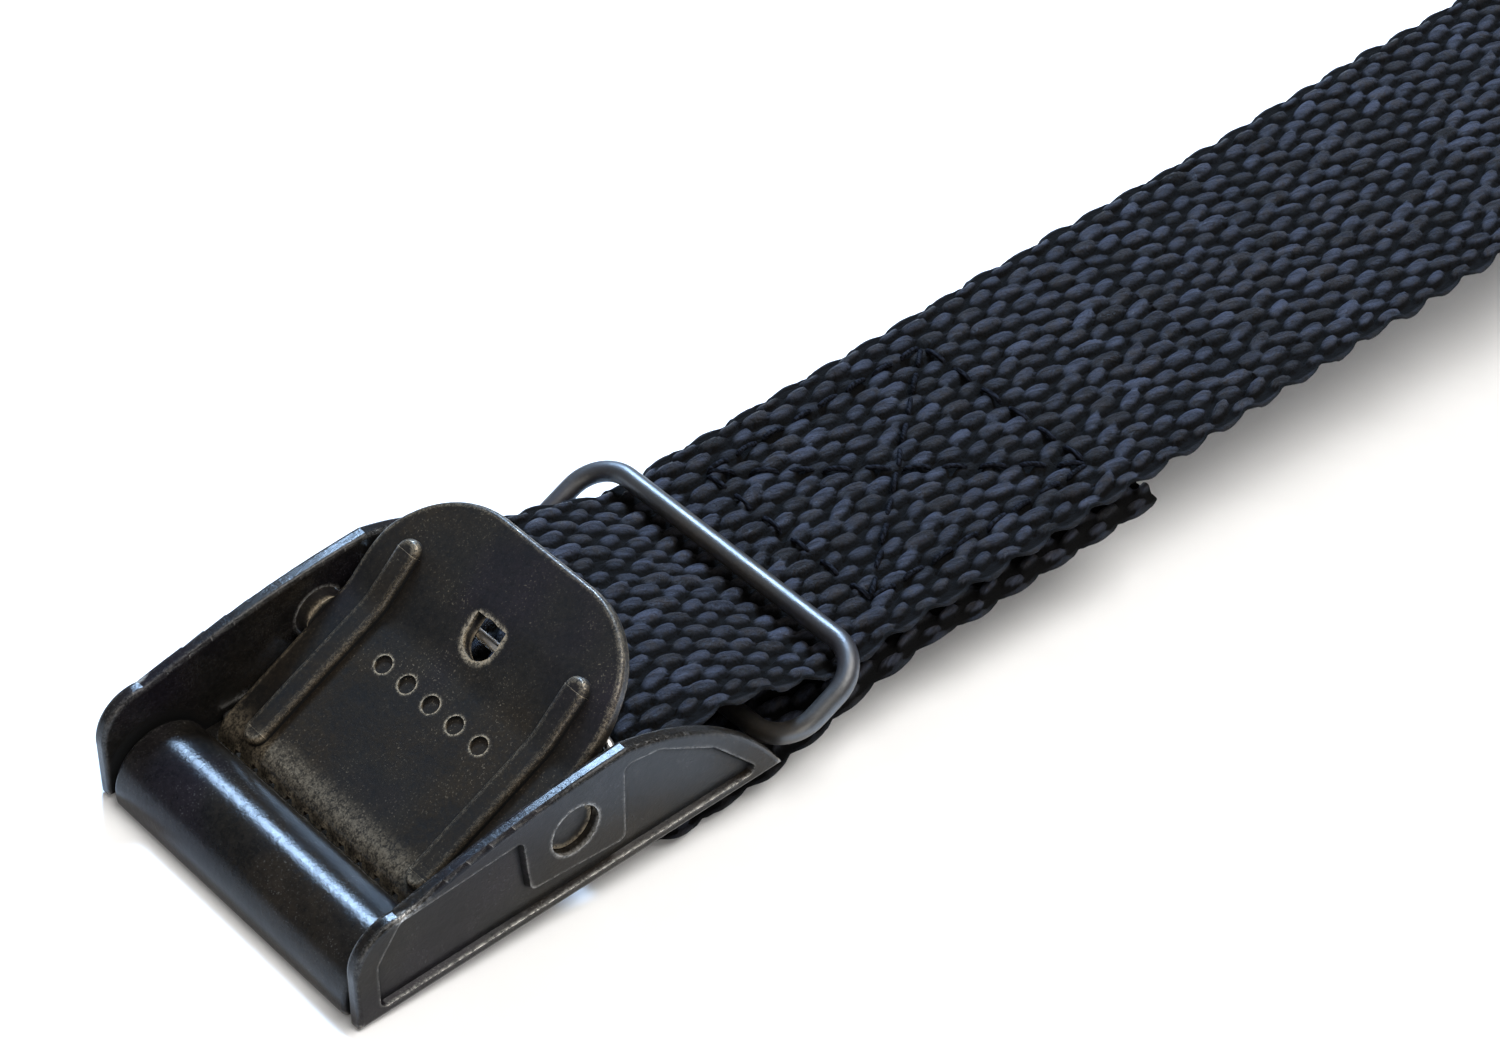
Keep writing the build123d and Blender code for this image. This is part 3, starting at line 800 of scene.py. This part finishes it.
def make_stitches(material):
    """Threads of the box stitch, on the upper layer's top and the lower layer's underside."""
    rng = np.random.default_rng(SEED + 11)
    lines = []
    for side in (1, -1):
        face = UPPER_LEVEL + STITCH_LIFT if side > 0 else LOWER_LEVEL - STITCH_LIFT
        for start, end in seam_lines():
            start, end = np.array(start), np.array(end)
            run = end - start
            length = np.hypot(*run)
            count = int(length / STITCH_PITCH)
            run = run / length
            for number in range(count):
                centre = start + run * (number + 0.5 + STITCH_STRAY * rng.normal()) * length / count
                turn = STITCH_TURN * rng.normal()
                way = np.array([run[0] - turn * run[1], run[1] + turn * run[0]])
                half = STITCH_PITCH * STITCH_SHARE
                line = []
                for share in np.linspace(-1, 1, STITCH_POINTS):
                    x, y = centre + way * half * share
                    arch = STITCH_ARCH * math.cos(share * math.pi / 2)
                    z = face + side * (arch - STITCH_DIP * abs(share) ** 5)
                    (sx, sz), = seated((x, z))
                    line.append((sx, y, sz))
                lines.append(line)
    points, faces = tube_mesh(lines, THREAD_R, 7)
    piece = mesh_piece("box_stitch_threads", points, faces, material, "buckle")
    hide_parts("box_stitch")


# ---------------------------------------------------------------- return spring
SPRING_WIRE_R = 0.4
SPRING_Y = 12.95
SPRING_FEET = [(9.0, 1.62), (20.0, 1.62), (23.0, 9.3)]
SPRING_STEP = 0.25
SPRING_EASING = 40


def make_spring(material):
    """The spring's wire: a foot, a leg and half the bridge a side."""
    left = [(x, SPRING_Y, z) for x, z in SPRING_FEET]
    right = [(x, -SPRING_Y, z) for x, z in SPRING_FEET[::-1]]
    line = smoothed(resampled(np.array(left + right), SPRING_STEP), SPRING_EASING)
    flat = seated(line[:, [0, 2]])
    wire = np.column_stack([flat[:, 0], line[:, 1], flat[:, 1]])
    points, faces = tube_mesh([wire], SPRING_WIRE_R, 14)
    piece = mesh_piece("spring_wire_bent", points, faces, material, None)
    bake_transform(piece)
    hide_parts("return_spring")


# ---------------------------------------------------------------- tie
# The band's mid line inside its CAD box, its lap as (y, height over the first turn), and its
# section
TIE_INSET = 0.55
TIE_BOTTOM_INSET = 0.5
TIE_CORNER = 1.3
TIE_START = -6.0
TIE_LAP = [(4.0, 0.1), (0.0, 0.55), (-4.5, 0.98), (-9.0, 0.98), (-10.4, 0.85)]
TIE_STEP = 0.35
TIE_EASING = 3
TIE_HALF = 0.45
TIE_ROUGH = 0.035
TIE_COLUMNS = 49
TIE_RIM = 0.12


def make_tie(material):
    """A hook-and-loop band round the hank: one strip wound once and lapped over itself on top."""
    low, high = (np.array(corner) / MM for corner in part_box("hank_tie"))
    middle = (low[0] + high[0]) / 2
    wide = (high[1] - low[1]) / 2 - TIE_INSET
    bottom, top = low[2] + TIE_BOTTOM_INSET, high[2] - TIE_INSET
    path = [(TIE_START, top)]
    corners = [(-wide, top, 90), (-wide, bottom, 180), (wide, bottom, 270), (wide, top, 0)]
    for y, z, first in corners:
        y -= math.copysign(TIE_CORNER, y)
        z -= math.copysign(TIE_CORNER, z - (top + bottom) / 2)
        for turned in range(0, 91, 15):
            angle = math.radians(first + turned)
            path.append((y + TIE_CORNER * math.cos(angle), z + TIE_CORNER * math.sin(angle)))
    path += [(y, top + rise) for y, rise in TIE_LAP]
    line = smoothed(resampled(np.array(path), TIE_STEP), TIE_EASING)
    ahead = directions(line)
    normal = np.stack([ahead[:, 1], -ahead[:, 0]], axis=1)
    across = np.linspace(-1, 1, TIE_COLUMNS)
    rim = np.clip((1 - np.abs(across)) / TIE_RIM, 0, 1)
    half = TIE_HALF * np.sqrt(np.clip(1 - (1 - rim) ** 2, 0.05, 1))
    rng = np.random.default_rng(SEED + 23)
    rough = rng.normal(0, TIE_ROUGH, (2, len(line), len(across)))
    x = middle + across * (TIE_WIDTH / 2)
    rows = []
    for k, (centre, out) in enumerate(zip(line, normal)):
        outer = [(x[j], *(centre + out * (half[j] + rough[0, k, j]))) for j in range(len(across))]
        inner = [(x[j], *(centre - out * (half[j] + rough[1, k, j]))) for j in range(len(across))]
        rows.append(outer + inner[::-1])
    ring = len(rows[0])
    points = [point for row in rows for point in row]
    faces = []
    for base in range(0, (len(rows) - 1) * ring, ring):
        for j in range(ring):
            beside = (j + 1) % ring
            faces.append((base + j, base + beside, base + ring + beside, base + ring + j))
    last = (len(rows) - 1) * ring
    for j in range(len(across) - 1):
        faces.append((j + 1, j, ring - 1 - j, ring - 2 - j))
        faces.append((last + j, last + j + 1, last + ring - 2 - j, last + ring - 1 - j))
    piece = mesh_piece("tie_band_wound", points, faces, material, "buckle")
    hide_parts("hank_tie")


# ---------------------------------------------------------------- CAD nodes
def dress(name, material):
    """Gives a CAD node its finished material; its shading is left as packed."""
    item = frame["nodes"][name]
    item.data.materials.clear()
    item.data.materials.append(material)


# ---------------------------------------------------------------- stage
FLOOR_SIZE = 6
FLOOR_LEVEL = -0.0002
SKY_TINT = (0.96, 0.97, 1.0, 1)
SKY_STRENGTH = 0.26
LAMP_AIM = Vector((-0.09, 0, 0.005))
# Each lamp's name, place, size, power and tint
LAMPS = [
    ("key", (0.36, 0.70, 1.05), 0.24, 37, (0.46, 0.68, 1.0)),
    ("overhead", (0.20, -0.40, 1.20), 0.9, 18, (1.0, 0.98, 0.95)),
    ("front_fill", (-0.8, -0.9, 0.45), 0.6, 4, (1.0, 0.95, 0.88)),
]


def make_stage():
    """A plain pale floor and soft studio light: a cool lamp behind, a large one above, dim fill."""
    bpy.ops.mesh.primitive_plane_add(size=FLOOR_SIZE, location=(0, 0, FLOOR_LEVEL))
    floor = bpy.context.object
    floor.name = "floor"
    material, tree, shader = new_material("floor_paper")
    grain = node(tree, "TexNoise", Scale=900, Detail=3)
    colour = ramp(tree, grain.outputs["Fac"], (0.3, grey(0.90)), (0.7, grey(0.93)))
    tree.links.new(colour, shader.inputs["Base Color"])
    shader.inputs["Roughness"].default_value = 0.9
    floor.data.materials.append(material)

    world = bpy.data.worlds.new("studio")
    bpy.context.scene.world = world
    world.use_nodes = True
    sky = world.node_tree.nodes["Background"]
    sky.inputs["Color"].default_value = SKY_TINT
    sky.inputs["Strength"].default_value = SKY_STRENGTH

    for name, place, size, power, tint in LAMPS:
        data = bpy.data.lights.new(name, "AREA")
        data.shape = "SQUARE"
        data.size = size
        data.energy = power
        data.color = tint
        lamp = bpy.data.objects.new(name, data)
        bpy.context.collection.objects.link(lamp)
        lamp.location = place
        lamp.rotation_euler = (LAMP_AIM - Vector(place)).to_track_quat("-Z", "Y").to_euler()


# ---------------------------------------------------------------- everything together
make_camera()
make_stage()
bpy.context.scene.view_settings.view_transform = "Standard"

BLACK = worn_steel(
    "blackened_steel",
    dark=(0.0035, 0.0035, 0.0035),
    light=(0.013, 0.0115, 0.0100),
    bare=(0.70, 0.67, 0.62),
    rough=(0.13, 0.27),
    wear=1.0,
    speckle=0.35,
    reach=0.00058,
    shine=0.16,
)
KEEPER = worn_steel(
    "keeper_steel",
    dark=(0.005, 0.005, 0.0055),
    light=(0.024, 0.022, 0.0195),
    bare=(0.60, 0.54, 0.44),
    rough=(0.36, 0.46),
    wear=0.7,
    speckle=0.2,
    reach=0.0006,
    shine=1.0,
)
LEVER = worn_steel(
    "bronzed_steel",
    dark=(0.0035, 0.0031, 0.0028),
    light=(0.016, 0.0138, 0.0113),
    bare=(0.86, 0.71, 0.50),
    rough=(0.30, 0.48),
    wear=1.0,
    speckle=0.6,
    reach=0.00075,
    shine=0.26,
    rub_and_highlight=(seated(TOE_BEND)[0].tolist(), TOE_REACH),
)
CLOTH = woven(
    "webbing_weave",
    # deep: the near-black painted shade of the weave's gaps
    deep=(0.0002, 0.0002, 0.0003),
    crest=(0.043, 0.049, 0.072),
    warm=(0.043, 0.040, 0.044),
)
THREAD = thread_fibre("sewing_thread", deep=(0.001, 0.001, 0.0015), light=(0.010, 0.0115, 0.017))
BAND = napped("loop_band", dark=(0.002, 0.002, 0.0022), light=(0.012, 0.012, 0.0135))

dress("buckle_body", BLACK)
dress("keeper_ring", KEEPER)
dress("cam_lever", LEVER)
make_spring(bright_wire("spring_wire"))
make_webbing(CLOTH)
make_stitches(THREAD)
make_tie(BAND)
